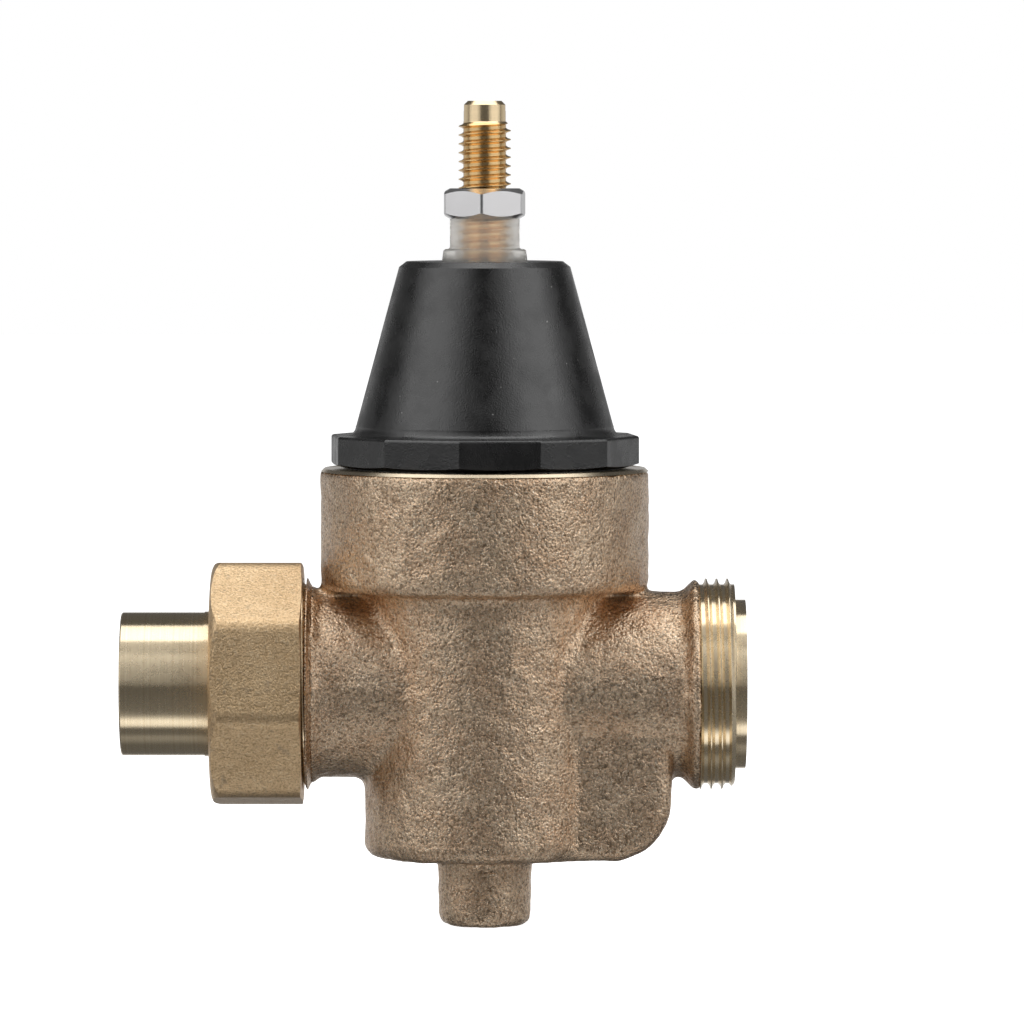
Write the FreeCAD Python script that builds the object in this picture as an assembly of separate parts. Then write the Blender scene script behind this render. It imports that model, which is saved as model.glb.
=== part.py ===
"""Pressure reducing valve for a 3/4 inch water line, direct acting, with a spring-loaded diaphragm.

The sub-parts are drawn in valve axes: X along the pipe line with the flow, Z up along the spring, and the
two lines crossing at zero. The last step moves them all so that the part's own origin is the centre of the
outlet's mouth. Lengths are millimetres.
"""

import FreeCAD
import Part

import math
import os

V = FreeCAD.Vector
Z_AXIS = V(0, 0, 1)
OVER = 1.0  # how far a cutting tool runs past the face that it opens

# ---- body casting, outside ----
OUTLET_REACH = 46.9  # valve axis to the outlet's end face
INLET_REACH = 40.9  # valve axis to the inlet's end face
BARREL_R, BARREL_TOP, BARREL_FOOT = 29.5, 38.95, 17.2
BARREL_CHAMFER, BARREL_EDGE_R = 0.6, 1.5
TRUNK_R, TRUNK_BOTTOM = 21.65, -30.95  # the cylinder under the barrel
PORT_R = 16.75  # both port tubes
SPUR_HALF_Y = 14.3  # flat-sided outlet passage beside the trunk
SPUR_REACH = 33.55
SPUR_CORNER_R = 11.2
FOOT_EDGE_R = 2.5
BOSS_R, BOSS_BOTTOM, BOSS_EDGE_R, BOSS_DRAFT = 8.25, -43.5, 1.9, 0.35
CREASE_R = 2.2

# ---- union ends and their thread ----
UNION_PITCH = 1.92
UNION_CREST_R, UNION_ROOT_R = 19.0, 17.95
UNION_THREAD_LENGTH = 7.0
UNION_CLEAR = 0.12
SPIGOT_R, SPIGOT_LENGTH = 15.2, 2.0
COLLAR_FLARE, COLLAR_LAND = 2.4, 0.3  # the outlet tube flares out to its thread
RING_LAND, RING_FOOT = 0.1, 0.6  # the thin ring that stands before the inlet thread
WATERWAY_R = 10.4
OUTLET_TAP_R, OUTLET_TAP_DEPTH = 12.9, 14.0  # 3/4-14 pipe thread, drawn plain

# ---- body casting, inside ----
NECK_BORE_R = 24.6
LEDGE_Z = 27.0  # the diaphragm's rim rests here
SENSING_R, SENSING_FLOOR = 21.0, 20.5
MODULE_HOLE_R = 13.5  # in the upper partition
INLET_CHAMBER_R, INLET_CHAMBER_TOP, INLET_CHAMBER_FLOOR = 16.5, 13.0, -12.0
SEAT_HOLE_R = 9.0  # in the lower partition
OUTLET_CHAMBER_R, OUTLET_CHAMBER_TOP, OUTLET_CHAMBER_FLOOR = 17.5, -16.0, -26.8
RISER_START = 19.6
SPUR_WALL = 4.2
SENSING_HOLE_R, SENSING_HOLE_X = 0.9, 19.9

# ---- bonnet ----
BONNET_TOP, BONNET_TOP_R = 76.1, 14.1
SHOULDER_R, SHOULDER_Z = 15.4, 75.1
CONE_FOOT_R, CONE_FOOT_Z = 23.2, 46.3
FLANGE_SIDES, FLANGE_CORNER_R = 12, 28.05
FLANGE_TURN = -9.0  # degrees that a flange corner stands off the front
FLANGE_TOP, FLANGE_FOOT = 44.9, 39.15
FLANGE_EDGE_R = 0.5
FLANGE_FOOT_R, FLANGE_BEVEL = 25.5, 0.8  # turned bevel underneath
NECK_R, NECK_FOOT = 24.5, 29.6
BONNET_WALL = 3.0
CAVITY_R = 20.4
CROWN_UNDERSIDE = 69.5
BUSHING_SEAT_R, BUSHING_SEAT_Z = 6.3, 74.9

# ---- adjusting screw, its insert and lock nut: 3/8-16 thread ----
SCREW_PITCH = 1.5875
SCREW_CREST_R, SCREW_ROOT_R = 4.7, 3.84
SCREW_CLEAR = 0.08
SCREW_TOP, SCREW_THREAD_TOP = 104.9, 101.2
SCREW_END_R, SCREW_END_CHAMFER = 3.78, 0.7
SCREW_THREAD_FOOT, SCREW_TIP_R = 67.8, 3.4
SCREW_SLOT_WIDTH, SCREW_SLOT_DEPTH = 1.3, 1.8
INSERT_FLATS, INSERT_FLANGE_R, INSERT_FOOT = 14.29, 9.5, 67.9
NUT_FLATS, NUT_FOOT, NUT_TOP = 14.1, 83.75, 89.2
NUT_TURN = -4.2  # degrees that a nut corner stands off the front
NUT_FACE_R, NUT_BEVEL, NUT_CORNER_ROUND = 6.3, 1.1, 1.0
BUSHING_R, BUSHING_STEP_Z, BUSHING_BORE_R = 6.25, 78.3, 4.82
BUSHING_BASE_R, BUSHING_BASE_TOP_R = 7.7, 7.4

# ---- spring and its seats ----
BUTTON_R, BUTTON_FOOT, BUTTON_TOP = 12.4, 64.0, 66.4
DIMPLE_DEPTH, DIMPLE_R = 0.8, 3.48
SPRING_MEAN_R, SPRING_WIRE, SPRING_TURNS = 10.3, 2.6, 7
SPRING_PILOT_R, SPRING_PILOT = 8.7, 2.4  # centring bosses on both seats
PLATE_R, PLATE_FOOT, PLATE_TOP, PLATE_EDGE_R = 17.0, 28.8, 31.0, 1.0

# ---- diaphragm and stem ----
DIAPHRAGM_R, DIAPHRAGM_HOLE_R = 24.3, 3.05
CONVOLUTION_R, CONVOLUTION_HALF, CONVOLUTION_RISE = 18.7, 1.5, 1.2
SLIP_RING_R = 24.3
WASHER_R, WASHER_FOOT = 14.0, 25.2
STEM_R, STEM_TOP, STEM_WAIST_R, STEM_WAIST_TOP = 3.0, 34.6, 2.4, 8.0
STEM_COLLAR_R, STEM_COLLAR = 4.5, 1.0
STEM_END_R, STEM_END = 2.6, -24.6
STEM_TAP_R, STEM_TAP_TOP = 1.5, -17.0
STEM_NUT_FLATS, STEM_NUT_THICK = 10.0, 2.8
DISC_TOP, DISC_FOOT, DISC_R = -20.0, -22.2, 7.8
HOLDER_R, HOLDER_RIM = 8.6, -20.7
DISC_SCREW_HEAD_R, DISC_SCREW_FOOT = 4.0, -26.0

# ---- seat module and strainer ----
MODULE_FLANGE_R, MODULE_FLANGE_TOP = 15.4, 22.1
MODULE_SPIGOT_R = 13.4
GUIDE_BORE_R, GUIDE_FOOT = 3.08, 11.0
CAGE_OUT_R, CAGE_IN_R = 9.4, 7.9
WINDOWS, WINDOW_WIDTH, WINDOW_LOW, WINDOW_HIGH = 4, 8.0, -9.0, 10.0
SEAT_RING_R, SEAT_BORE_R, SEAT_FLOOR = 8.9, 6.0, -10.0
SEAT_LIP_R, SEAT_LIP_Z = 6.9, -17.0
SCREEN_OUT_R, SCREEN_IN_R = 12.8, 12.3
SCREEN_ROWS, SCREEN_HOLES, SCREEN_HOLE_R = 6, 18, 0.95
O_RING_CORD = 1.4
MODULE_RING_Z, SEAT_RING_Z, STEM_RING_Z = 17.0, -14.0, 18.9

# ---- union nut, tailpiece and gasket ----
UNION_NUT_CORNER_R, UNION_NUT_SIDES = 22.9, 8
UNION_NUT_TURN = -13.0  # degrees that a nut corner stands above the front line
UNION_NUT_OUTER, UNION_NUT_INNER = 49.2, 32.7  # distances from the valve axis
UNION_NUT_CORNER_ROUND = 4.0
UNION_LIP = 3.5
LIP_BORE_R, TAIL_COLLAR_R, TAIL_COLLAR_END = 13.13, 13.05, 50.4
TAIL_R, TAIL_MOUTH = 12.9, 65.4
TAIL_FLANGE_R, TAIL_FLANGE = 17.6, 3.0
SOCKET_R, SOCKET_DEPTH = 11.15, 18.5
TAIL_WATERWAY_R = 10.2
GASKET_R, GASKET_THICK = 17.2, 1.6


# ---------------------------------------------------------------- shape helpers
def rod(radius, low, high):
    return Part.makeCylinder(radius, high - low, V(0, 0, low))


def tube(outer, inner, low, high):
    return rod(outer, low, high).cut(rod(inner, low - OVER, high + OVER))


def turned(points):
    """A solid of revolution about Z from (radius, z) corners. A corner marked "arc" is the middle of an arc."""
    corners = [V(p[0], 0, p[1]) for p in points]
    edges = []
    index = 0
    while index < len(points):
        ahead = (index + 1) % len(points)
        if len(points[ahead]) == 3:
            end = (index + 2) % len(points)
            edges.append(Part.Arc(corners[index], corners[ahead], corners[end]).toShape())
            index += 2
        else:
            edges.append(Part.LineSegment(corners[index], corners[ahead]).toShape())
            index += 1
    return Part.Face(Part.Wire(edges)).revolve(V(0, 0, 0), Z_AXIS, 360)


def cove(radius, z, size, side):
    """The ring that rounds the inside corner of a post and a flat. side is 1 above the flat, -1 below it."""
    inner, rim = radius - OVER, radius + size
    bend = size * (1 - math.sqrt(0.5))
    return turned([
        (rim, z), (radius + bend, z + side * bend, "arc"), (radius, z + side * size),
        (inner, z + side * size), (inner, z - side * OVER), (rim, z - side * OVER),
    ])


def prism(sides, corner_radius, low, high, turn=0.0):
    """An upright prism with one corner turned so many degrees from -Y, the front."""
    step = 2 * math.pi / sides
    start = math.radians(turn) - math.pi / 2
    ring = [
        V(corner_radius * math.cos(start + k * step), corner_radius * math.sin(start + k * step), low)
        for k in range(sides + 1)
    ]
    return Part.Face(Part.makePolygon(ring)).extrude(V(0, 0, high - low))


def hexagon(flats, low, high, turn=0.0):
    return prism(6, flats / math.sqrt(3), low, high, turn)


def box(low, high):
    return Part.makeBox(high[0] - low[0], high[1] - low[1], high[2] - low[2], V(*low))


def lying(shape, outward=1):
    """Lays a shape drawn along +Z down along +X, or along -X for outward=-1."""
    laid = shape.copy()
    laid.rotate(V(0, 0, 0), V(0, 1, 0), 90 * outward)
    return laid


def o_ring(groove_r, z):
    """An O-ring that stands on a groove's floor of this radius."""
    return Part.makeTorus(groove_r + O_RING_CORD / 2, O_RING_CORD / 2, V(0, 0, z))


def o_ring_groove(floor_r, mouth_r, z):
    half = 0.65 * O_RING_CORD
    return tube(mouth_r, floor_r, z - half, z + half)


def helix(pitch, turns, radius):
    """A right-hand helix made turn by turn, so that what is swept along it has one set of faces a turn."""
    edges = []
    for k in range(turns):
        turn = Part.makeHelix(pitch, pitch, radius)
        turn.translate(V(0, 0, k * pitch))
        edges.extend(turn.Edges)
    return Part.Wire(edges)


def helical_ridge(pitch, root_r, crest_r, low, turns, grow=0.0):
    """The ridge of a right-hand thread with slightly hollow flanks. grow widens it to cut the mating thread."""
    buried = 0.12  # the ridge starts this far inside the root, so that it fuses soundly
    foot, waist, crest = 0.33 * pitch + grow, 0.17 * pitch + grow, 0.05 * pitch + grow
    foot_r, high_r = root_r + grow, crest_r + grow
    waist_r = foot_r + 0.35 * (crest_r - root_r)
    base = foot + buried * (foot - waist) / (waist_r - foot_r)
    side = [V(foot_r - buried, 0, base), V(waist_r, 0, waist), V(high_r, 0, crest)]
    section = side + [V(p.x, 0, -p.z) for p in reversed(side)]
    outline = Part.Wire(Part.makePolygon(section + section[:1]).Edges)
    ridge = helix(pitch, turns, root_r).makePipeShell([outline], True, True)
    ridge.translate(V(0, 0, low))
    return ridge


def circles_at(shape, radius, z):
    """The circular edges about Z of one radius at one height."""
    return [
        edge for edge in shape.Edges
        if isinstance(edge.Curve, Part.Circle) and abs(edge.Curve.Radius - radius) < 0.01
        and abs(edge.Curve.Center.z - z) < 0.01
    ]


def upright_edges(shape, low, high):
    """The edges that run from one height to the other."""
    return [edge for edge in shape.Edges if abs(edge.BoundBox.ZLength - (high - low)) < 0.01]


# ---------------------------------------------------------------- body casting
def crease_edges(shape):
    """Where the port tubes run into the trunk."""
    def on_trunk(edge):
        return all(abs(math.hypot(p.x, p.y) - TRUNK_R) < 0.02 for p in edge.discretize(7))
    return [e for e in shape.Edges if on_trunk(e) and not isinstance(e.Curve, (Part.Line, Part.Circle))]


def body_ports():
    inlet = lying(rod(PORT_R, 0, INLET_REACH - SPIGOT_LENGTH - UNION_THREAD_LENGTH), -1)
    outlet = lying(rod(PORT_R, 0, OUTLET_REACH - SPIGOT_LENGTH - UNION_THREAD_LENGTH))
    ports = rod(TRUNK_R, -PORT_R - 3.5, BARREL_FOOT + 5).fuse([inlet, outlet]).removeSplitter()
    return ports.makeFillet(CREASE_R, crease_edges(ports))


def body_foot():
    """The trunk's lower half with the flat-sided outlet passage on its side."""
    spur = box((0, -SPUR_HALF_Y, TRUNK_BOTTOM), (SPUR_REACH, SPUR_HALF_Y, 0))
    heel = [
        e for e in spur.Edges
        if abs(e.CenterOfMass.x - SPUR_REACH) < 0.01 and abs(e.CenterOfMass.z - TRUNK_BOTTOM) < 0.01
    ]
    spur = spur.makeFillet(SPUR_CORNER_R, heel)
    foot = rod(TRUNK_R, TRUNK_BOTTOM, 0).fuse(spur).removeSplitter()
    reach_of_flat = math.sqrt(TRUNK_R ** 2 - SPUR_HALF_Y ** 2)
    inner_corners = [
        e for e in foot.Edges
        if isinstance(e.Curve, Part.Line) and abs(e.CenterOfMass.x - reach_of_flat) < 0.01
        and abs(e.BoundBox.ZLength + TRUNK_BOTTOM) < 0.01
    ]
    foot = foot.makeFillet(CREASE_R, inner_corners)

    def rounded(edge):
        at, bounds = edge.CenterOfMass, edge.BoundBox
        along_floor = abs(bounds.ZMax - TRUNK_BOTTOM) < 0.01
        across = isinstance(edge.Curve, Part.Line) and abs(at.y) < 0.01
        up_the_side = abs(abs(at.y) - SPUR_HALF_Y) < 0.02 and at.x > reach_of_flat + 4 and bounds.ZLength > 1
        return (along_floor and not across) or up_the_side
    return foot.makeFillet(FOOT_EDGE_R, [e for e in foot.Edges if rounded(e)])


def body_barrel():
    barrel = rod(BARREL_R, BARREL_FOOT, BARREL_TOP)
    barrel = barrel.makeChamfer(BARREL_CHAMFER, circles_at(barrel, BARREL_R, BARREL_TOP))
    barrel = barrel.makeFillet(BARREL_EDGE_R, circles_at(barrel, BARREL_R, BARREL_FOOT))
    return barrel.fuse(cove(TRUNK_R, BARREL_FOOT, CREASE_R, -1))


def body_boss():
    boss = Part.makeCone(BOSS_R, BOSS_R + BOSS_DRAFT, TRUNK_BOTTOM + 2 - BOSS_BOTTOM, V(0, 0, BOSS_BOTTOM))
    boss = boss.makeFillet(BOSS_EDGE_R, circles_at(boss, BOSS_R, BOSS_BOTTOM))
    return boss.fuse(cove(BOSS_R + 0.8 * BOSS_DRAFT, TRUNK_BOTTOM, 0.8 * CREASE_R, -1))


def union_end(reach, flare):
    """A threaded end and its spigot, drawn along +Z, with a flared collar or a thin ring before the thread."""
    thread_end = reach - SPIGOT_LENGTH
    thread_start = thread_end - UNION_THREAD_LENGTH
    depth = UNION_CREST_R - UNION_ROOT_R
    collar_r = UNION_CREST_R + 0.05
    land = COLLAR_LAND if flare else RING_LAND
    tube_end = [(0, thread_start - COLLAR_FLARE), (PORT_R, thread_start - COLLAR_FLARE)]
    if not flare:
        tube_end.append((UNION_ROOT_R, thread_start - RING_FOOT))
    core = turned(tube_end + [
        (collar_r, thread_start - land), (collar_r, thread_start + land), (UNION_ROOT_R, thread_start + land),
        (UNION_ROOT_R, thread_end), (SPIGOT_R, thread_end), (SPIGOT_R, reach), (0, reach),
    ])
    envelope = turned([
        (0, thread_start), (UNION_CREST_R + OVER, thread_start),
        (UNION_CREST_R + OVER, thread_end - depth - OVER), (UNION_ROOT_R, thread_end), (0, thread_end),
    ])
    turns = math.ceil(UNION_THREAD_LENGTH / UNION_PITCH) + 1
    ridge = helical_ridge(UNION_PITCH, UNION_ROOT_R, UNION_CREST_R, thread_start - UNION_PITCH / 2, turns)
    return core.fuse(ridge.common(envelope))


def body_hollows():
    """Everything bored or cored out of the body, as one list of tools."""
    passage_end = SPUR_REACH - SPUR_WALL
    passage_half = SPUR_HALF_Y - SPUR_WALL
    passage = box((0, -passage_half, OUTLET_CHAMBER_FLOOR), (passage_end, passage_half, OUTLET_CHAMBER_TOP))
    riser = box((RISER_START, -passage_half, OUTLET_CHAMBER_FLOOR), (passage_end, passage_half, 0))
    heel = [
        e for e in riser.Edges
        if abs(e.CenterOfMass.x - passage_end) < 0.01 and abs(e.CenterOfMass.z - OUTLET_CHAMBER_FLOOR) < 0.01
    ]
    riser = riser.makeFillet(SPUR_CORNER_R - SPUR_WALL, heel)
    passage = passage.cut(box((RISER_START + OVER, -20, -40), (passage_end + OVER, 20, 0)))
    return [
        rod(NECK_BORE_R, LEDGE_Z, BARREL_TOP + OVER),
        rod(SENSING_R, SENSING_FLOOR, LEDGE_Z + OVER),
        rod(MODULE_HOLE_R, INLET_CHAMBER_TOP - OVER, SENSING_FLOOR + OVER),
        rod(INLET_CHAMBER_R, INLET_CHAMBER_FLOOR, INLET_CHAMBER_TOP),
        rod(SEAT_HOLE_R, OUTLET_CHAMBER_TOP - OVER, INLET_CHAMBER_FLOOR + OVER),
        rod(OUTLET_CHAMBER_R, OUTLET_CHAMBER_FLOOR, OUTLET_CHAMBER_TOP),
        passage,
        riser,
        lying(rod(WATERWAY_R, RISER_START, OUTLET_REACH + OVER)),
        lying(rod(OUTLET_TAP_R, OUTLET_REACH - OUTLET_TAP_DEPTH, OUTLET_REACH + OVER)),
        lying(rod(WATERWAY_R, SEAT_HOLE_R, INLET_REACH + OVER), -1),
        Part.makeCylinder(SENSING_HOLE_R, SENSING_FLOOR, V(SENSING_HOLE_X, 0, OVER)),
    ]


def body_casting():
    casting = body_ports().fuse([
        body_foot(),
        body_barrel(),
        body_boss(),
        lying(union_end(OUTLET_REACH, True)),
        lying(union_end(INLET_REACH, False), -1),
    ])
    return casting.cut(body_hollows()).removeSplitter()


# ---------------------------------------------------------------- bonnet and what stands in its crown
def bonnet():
    cone = turned([
        (0, FLANGE_FOOT), (CONE_FOOT_R, FLANGE_FOOT), (CONE_FOOT_R, CONE_FOOT_Z), (SHOULDER_R, SHOULDER_Z),
        (BONNET_TOP_R, BONNET_TOP), (0, BONNET_TOP),
    ])
    flange = prism(FLANGE_SIDES, FLANGE_CORNER_R, FLANGE_FOOT, FLANGE_TOP, FLANGE_TURN)
    flange = flange.makeFillet(FLANGE_EDGE_R, flange.Edges).common(turned([
        (0, FLANGE_FOOT), (FLANGE_FOOT_R, FLANGE_FOOT), (FLANGE_CORNER_R, FLANGE_FOOT + FLANGE_BEVEL),
        (FLANGE_CORNER_R, FLANGE_TOP), (0, FLANGE_TOP),
    ]))
    cavity_slope = (CONE_FOOT_R - SHOULDER_R) / (SHOULDER_Z - CONE_FOOT_Z)
    crown_r = CAVITY_R - cavity_slope * (CROWN_UNDERSIDE - CONE_FOOT_Z)
    cavity = turned([
        (0, NECK_FOOT - OVER), (CAVITY_R, NECK_FOOT - OVER), (CAVITY_R, CONE_FOOT_Z),
        (crown_r, CROWN_UNDERSIDE), (0, CROWN_UNDERSIDE),
    ])
    neck = rod(NECK_R, NECK_FOOT, FLANGE_FOOT + OVER)
    shell = neck.fuse([cone, flange, cove(CONE_FOOT_R, FLANGE_TOP, 1.6, 1)])
    tools = [
        cavity,
        hexagon(INSERT_FLATS, CROWN_UNDERSIDE - OVER, BUSHING_SEAT_Z),
        rod(BUSHING_SEAT_R, BUSHING_SEAT_Z - OVER, BONNET_TOP + OVER),
    ]
    return shell.cut(tools).removeSplitter()


def screw_ridge(high, grow=0.0):
    """The adjusting screw's thread from below its foot to above this height."""
    low = SCREW_THREAD_FOOT - SCREW_PITCH
    turns = math.ceil((high - low) / SCREW_PITCH) + 1
    return helical_ridge(SCREW_PITCH, SCREW_ROOT_R, SCREW_CREST_R, low, turns, grow)


def threaded_insert():
    blank = hexagon(INSERT_FLATS, CROWN_UNDERSIDE, BUSHING_SEAT_Z)
    blank = blank.fuse(rod(INSERT_FLANGE_R, INSERT_FOOT, CROWN_UNDERSIDE))
    bored = blank.cut(rod(SCREW_ROOT_R + SCREW_CLEAR, INSERT_FOOT - OVER, BUSHING_SEAT_Z + OVER))
    return bored.cut(screw_ridge(NUT_TOP + OVER, SCREW_CLEAR))


def seal_bushing():
    step_r = 0.5
    bushing = turned([
        (BUSHING_BORE_R, BUSHING_SEAT_Z), (BUSHING_R, BUSHING_SEAT_Z), (BUSHING_R, BONNET_TOP),
        (BUSHING_BASE_R, BONNET_TOP), (BUSHING_BASE_TOP_R, BUSHING_STEP_Z), (BUSHING_R, BUSHING_STEP_Z),
        (BUSHING_R, NUT_FOOT), (BUSHING_BORE_R, NUT_FOOT),
    ])
    bushing = bushing.makeFillet(step_r, circles_at(bushing, BUSHING_R, BUSHING_STEP_Z))
    return bushing.makeFillet(step_r, circles_at(bushing, BUSHING_BASE_TOP_R, BUSHING_STEP_Z))


def lock_nut():
    corner_r = NUT_FLATS / math.sqrt(3)
    bevelled = turned([
        (0, NUT_FOOT), (NUT_FACE_R, NUT_FOOT), (corner_r, NUT_FOOT + NUT_BEVEL),
        (corner_r, NUT_TOP - NUT_BEVEL), (NUT_FACE_R, NUT_TOP), (0, NUT_TOP),
    ])
    blank = hexagon(NUT_FLATS, NUT_FOOT, NUT_TOP, NUT_TURN)
    blank = blank.makeFillet(NUT_CORNER_ROUND, upright_edges(blank, NUT_FOOT, NUT_TOP)).common(bevelled)
    bored = blank.cut(rod(SCREW_ROOT_R + SCREW_CLEAR, NUT_FOOT - OVER, NUT_TOP + OVER))
    return bored.cut(screw_ridge(NUT_TOP + OVER, SCREW_CLEAR))


def adjusting_screw():
    tip = BUTTON_TOP - DIMPLE_DEPTH
    depth = SCREW_CREST_R - SCREW_ROOT_R
    core = turned([
        (0, tip), (SCREW_TIP_R, tip), (SCREW_TIP_R, SCREW_THREAD_FOOT), (SCREW_ROOT_R, SCREW_THREAD_FOOT),
        (SCREW_ROOT_R, SCREW_THREAD_TOP), (SCREW_END_R, SCREW_THREAD_TOP),
        (SCREW_END_R, SCREW_TOP - SCREW_END_CHAMFER), (SCREW_END_R - SCREW_END_CHAMFER, SCREW_TOP),
        (0, SCREW_TOP),
    ])
    envelope = turned([
        (0, SCREW_THREAD_FOOT), (SCREW_ROOT_R, SCREW_THREAD_FOOT),
        (SCREW_CREST_R + OVER, SCREW_THREAD_FOOT + depth + OVER),
        (SCREW_CREST_R + OVER, SCREW_THREAD_TOP - depth - OVER), (SCREW_ROOT_R, SCREW_THREAD_TOP),
        (0, SCREW_THREAD_TOP),
    ])
    slot = box(
        (-SCREW_CREST_R, -SCREW_SLOT_WIDTH / 2, SCREW_TOP - SCREW_SLOT_DEPTH),
        (SCREW_CREST_R, SCREW_SLOT_WIDTH / 2, SCREW_TOP + OVER),
    )
    return core.fuse(screw_ridge(SCREW_THREAD_TOP).common(envelope)).cut(slot)


# ---------------------------------------------------------------- spring and diaphragm
def spring_button():
    seat = rod(BUTTON_R, BUTTON_FOOT, BUTTON_TOP)
    seat = seat.makeFillet(0.6, circles_at(seat, BUTTON_R, BUTTON_TOP))
    seat = seat.fuse(rod(SPRING_PILOT_R, BUTTON_FOOT - SPRING_PILOT, BUTTON_FOOT))
    return seat.cut(rod(DIMPLE_R, BUTTON_TOP - DIMPLE_DEPTH, BUTTON_TOP + OVER))


def range_spring():
    """Both ends are ground flat, so the wire is cut off level with the seats."""
    pitch = (BUTTON_FOOT - PLATE_TOP) / SPRING_TURNS
    section = Part.Wire(Part.Circle(V(SPRING_MEAN_R, 0, 0), V(0, 1, 0), SPRING_WIRE / 2).toShape())
    coil = helix(pitch, SPRING_TURNS + 1, SPRING_MEAN_R).makePipeShell([section], True, True)
    coil.translate(V(0, 0, PLATE_TOP - pitch / 2))
    return coil.common(rod(BUTTON_R + OVER, PLATE_TOP, BUTTON_FOOT))


def diaphragm_plate():
    plate = rod(PLATE_R, PLATE_FOOT, PLATE_TOP)
    plate = plate.makeFillet(PLATE_EDGE_R, circles_at(plate, PLATE_R, PLATE_FOOT))
    nut_room = STEM_NUT_FLATS / math.sqrt(3) + 0.8
    pilot = tube(SPRING_PILOT_R, nut_room, PLATE_TOP - OVER / 2, PLATE_TOP + SPRING_PILOT)
    return plate.fuse(pilot).cut(rod(STEM_R, PLATE_FOOT - OVER, PLATE_TOP + OVER))


def slip_ring():
    return tube(SLIP_RING_R, CAVITY_R, PLATE_FOOT, NECK_FOOT)


def diaphragm():
    """A flat disc with one rolled convolution that lets its middle rise and fall."""
    half, under = CONVOLUTION_HALF, CONVOLUTION_HALF + 0.4
    return turned([
        (DIAPHRAGM_HOLE_R, LEDGE_Z), (CONVOLUTION_R - under, LEDGE_Z),
        (CONVOLUTION_R, LEDGE_Z + CONVOLUTION_RISE, "arc"), (CONVOLUTION_R + under, LEDGE_Z),
        (DIAPHRAGM_R, LEDGE_Z), (DIAPHRAGM_R, PLATE_FOOT), (CONVOLUTION_R + half, PLATE_FOOT),
        (CONVOLUTION_R, PLATE_FOOT + CONVOLUTION_RISE, "arc"), (CONVOLUTION_R - half, PLATE_FOOT),
        (DIAPHRAGM_HOLE_R, PLATE_FOOT),
    ])


def diaphragm_washer():
    washer = tube(WASHER_R, STEM_R, WASHER_FOOT, LEDGE_Z)
    return washer.makeFillet(0.6, circles_at(washer, WASHER_R, LEDGE_Z))


def valve_stem():
    stem = turned([
        (0, STEM_END), (STEM_END_R, STEM_END), (STEM_END_R, DISC_TOP), (STEM_COLLAR_R, DISC_TOP),
        (STEM_COLLAR_R, DISC_TOP + STEM_COLLAR), (STEM_WAIST_R, DISC_TOP + STEM_COLLAR),
        (STEM_WAIST_R, STEM_WAIST_TOP), (STEM_R, STEM_WAIST_TOP), (STEM_R, WASHER_FOOT - STEM_COLLAR),
        (STEM_COLLAR_R, WASHER_FOOT - STEM_COLLAR), (STEM_COLLAR_R, WASHER_FOOT), (STEM_R, WASHER_FOOT),
        (STEM_R, STEM_TOP), (0, STEM_TOP),
    ])
    return stem.cut(rod(STEM_TAP_R, STEM_END - OVER, STEM_TAP_TOP))


def stem_nut():
    nut = hexagon(STEM_NUT_FLATS, PLATE_TOP, PLATE_TOP + STEM_NUT_THICK)
    return nut.cut(rod(STEM_R, PLATE_TOP - OVER, STEM_TOP + OVER))


def valve_disc():
    return tube(DISC_R, STEM_END_R, DISC_FOOT, DISC_TOP)


def disc_holder():
    cup = tube(HOLDER_R, STEM_END_R, STEM_END, HOLDER_RIM)
    return cup.cut(rod(DISC_R, DISC_FOOT, HOLDER_RIM + OVER))


def disc_screw():
    head = rod(DISC_SCREW_HEAD_R, DISC_SCREW_FOOT, STEM_END)
    head = head.makeFillet(0.4, circles_at(head, DISC_SCREW_HEAD_R, DISC_SCREW_FOOT))
    slot = box((-5, -0.5, DISC_SCREW_FOOT - OVER), (5, 0.5, DISC_SCREW_FOOT + 0.6))
    return head.fuse(rod(STEM_TAP_R, STEM_END, STEM_TAP_TOP - OVER)).cut(slot)


# ---------------------------------------------------------------- seat module, seals and strainer
def seat_module():
    module = rod(MODULE_FLANGE_R, SENSING_FLOOR, MODULE_FLANGE_TOP).fuse([
        rod(MODULE_SPIGOT_R, INLET_CHAMBER_TOP, SENSING_FLOOR),
        rod(CAGE_OUT_R, INLET_CHAMBER_FLOOR, INLET_CHAMBER_TOP),
        rod(SEAT_RING_R, OUTLET_CHAMBER_TOP, INLET_CHAMBER_FLOOR),
        rod(SEAT_LIP_R, SEAT_LIP_Z, OUTLET_CHAMBER_TOP),
    ])
    windows = []
    for k in range(WINDOWS):
        window = box((0, -WINDOW_WIDTH / 2, WINDOW_LOW), (CAGE_OUT_R + OVER, WINDOW_WIDTH / 2, WINDOW_HIGH))
        window.rotate(V(0, 0, 0), Z_AXIS, (k + 0.5) * 360 / WINDOWS)
        windows.append(window)
    return module.cut(windows + [
        rod(CAGE_IN_R, SEAT_FLOOR, GUIDE_FOOT),
        rod(GUIDE_BORE_R, GUIDE_FOOT - OVER, MODULE_FLANGE_TOP + OVER),
        rod(SEAT_BORE_R, SEAT_LIP_Z - OVER, SEAT_FLOOR + OVER),
        o_ring_groove(MODULE_HOLE_R - O_RING_CORD, MODULE_HOLE_R, MODULE_RING_Z),
        o_ring_groove(SEAT_HOLE_R - O_RING_CORD, SEAT_HOLE_R, SEAT_RING_Z),
        o_ring_groove(GUIDE_BORE_R - OVER, STEM_R + 0.1 + O_RING_CORD, STEM_RING_Z),
    ])


def module_o_ring():
    return o_ring(MODULE_HOLE_R - O_RING_CORD, MODULE_RING_Z)


def seat_o_ring():
    return o_ring(SEAT_HOLE_R - O_RING_CORD, SEAT_RING_Z)


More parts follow.
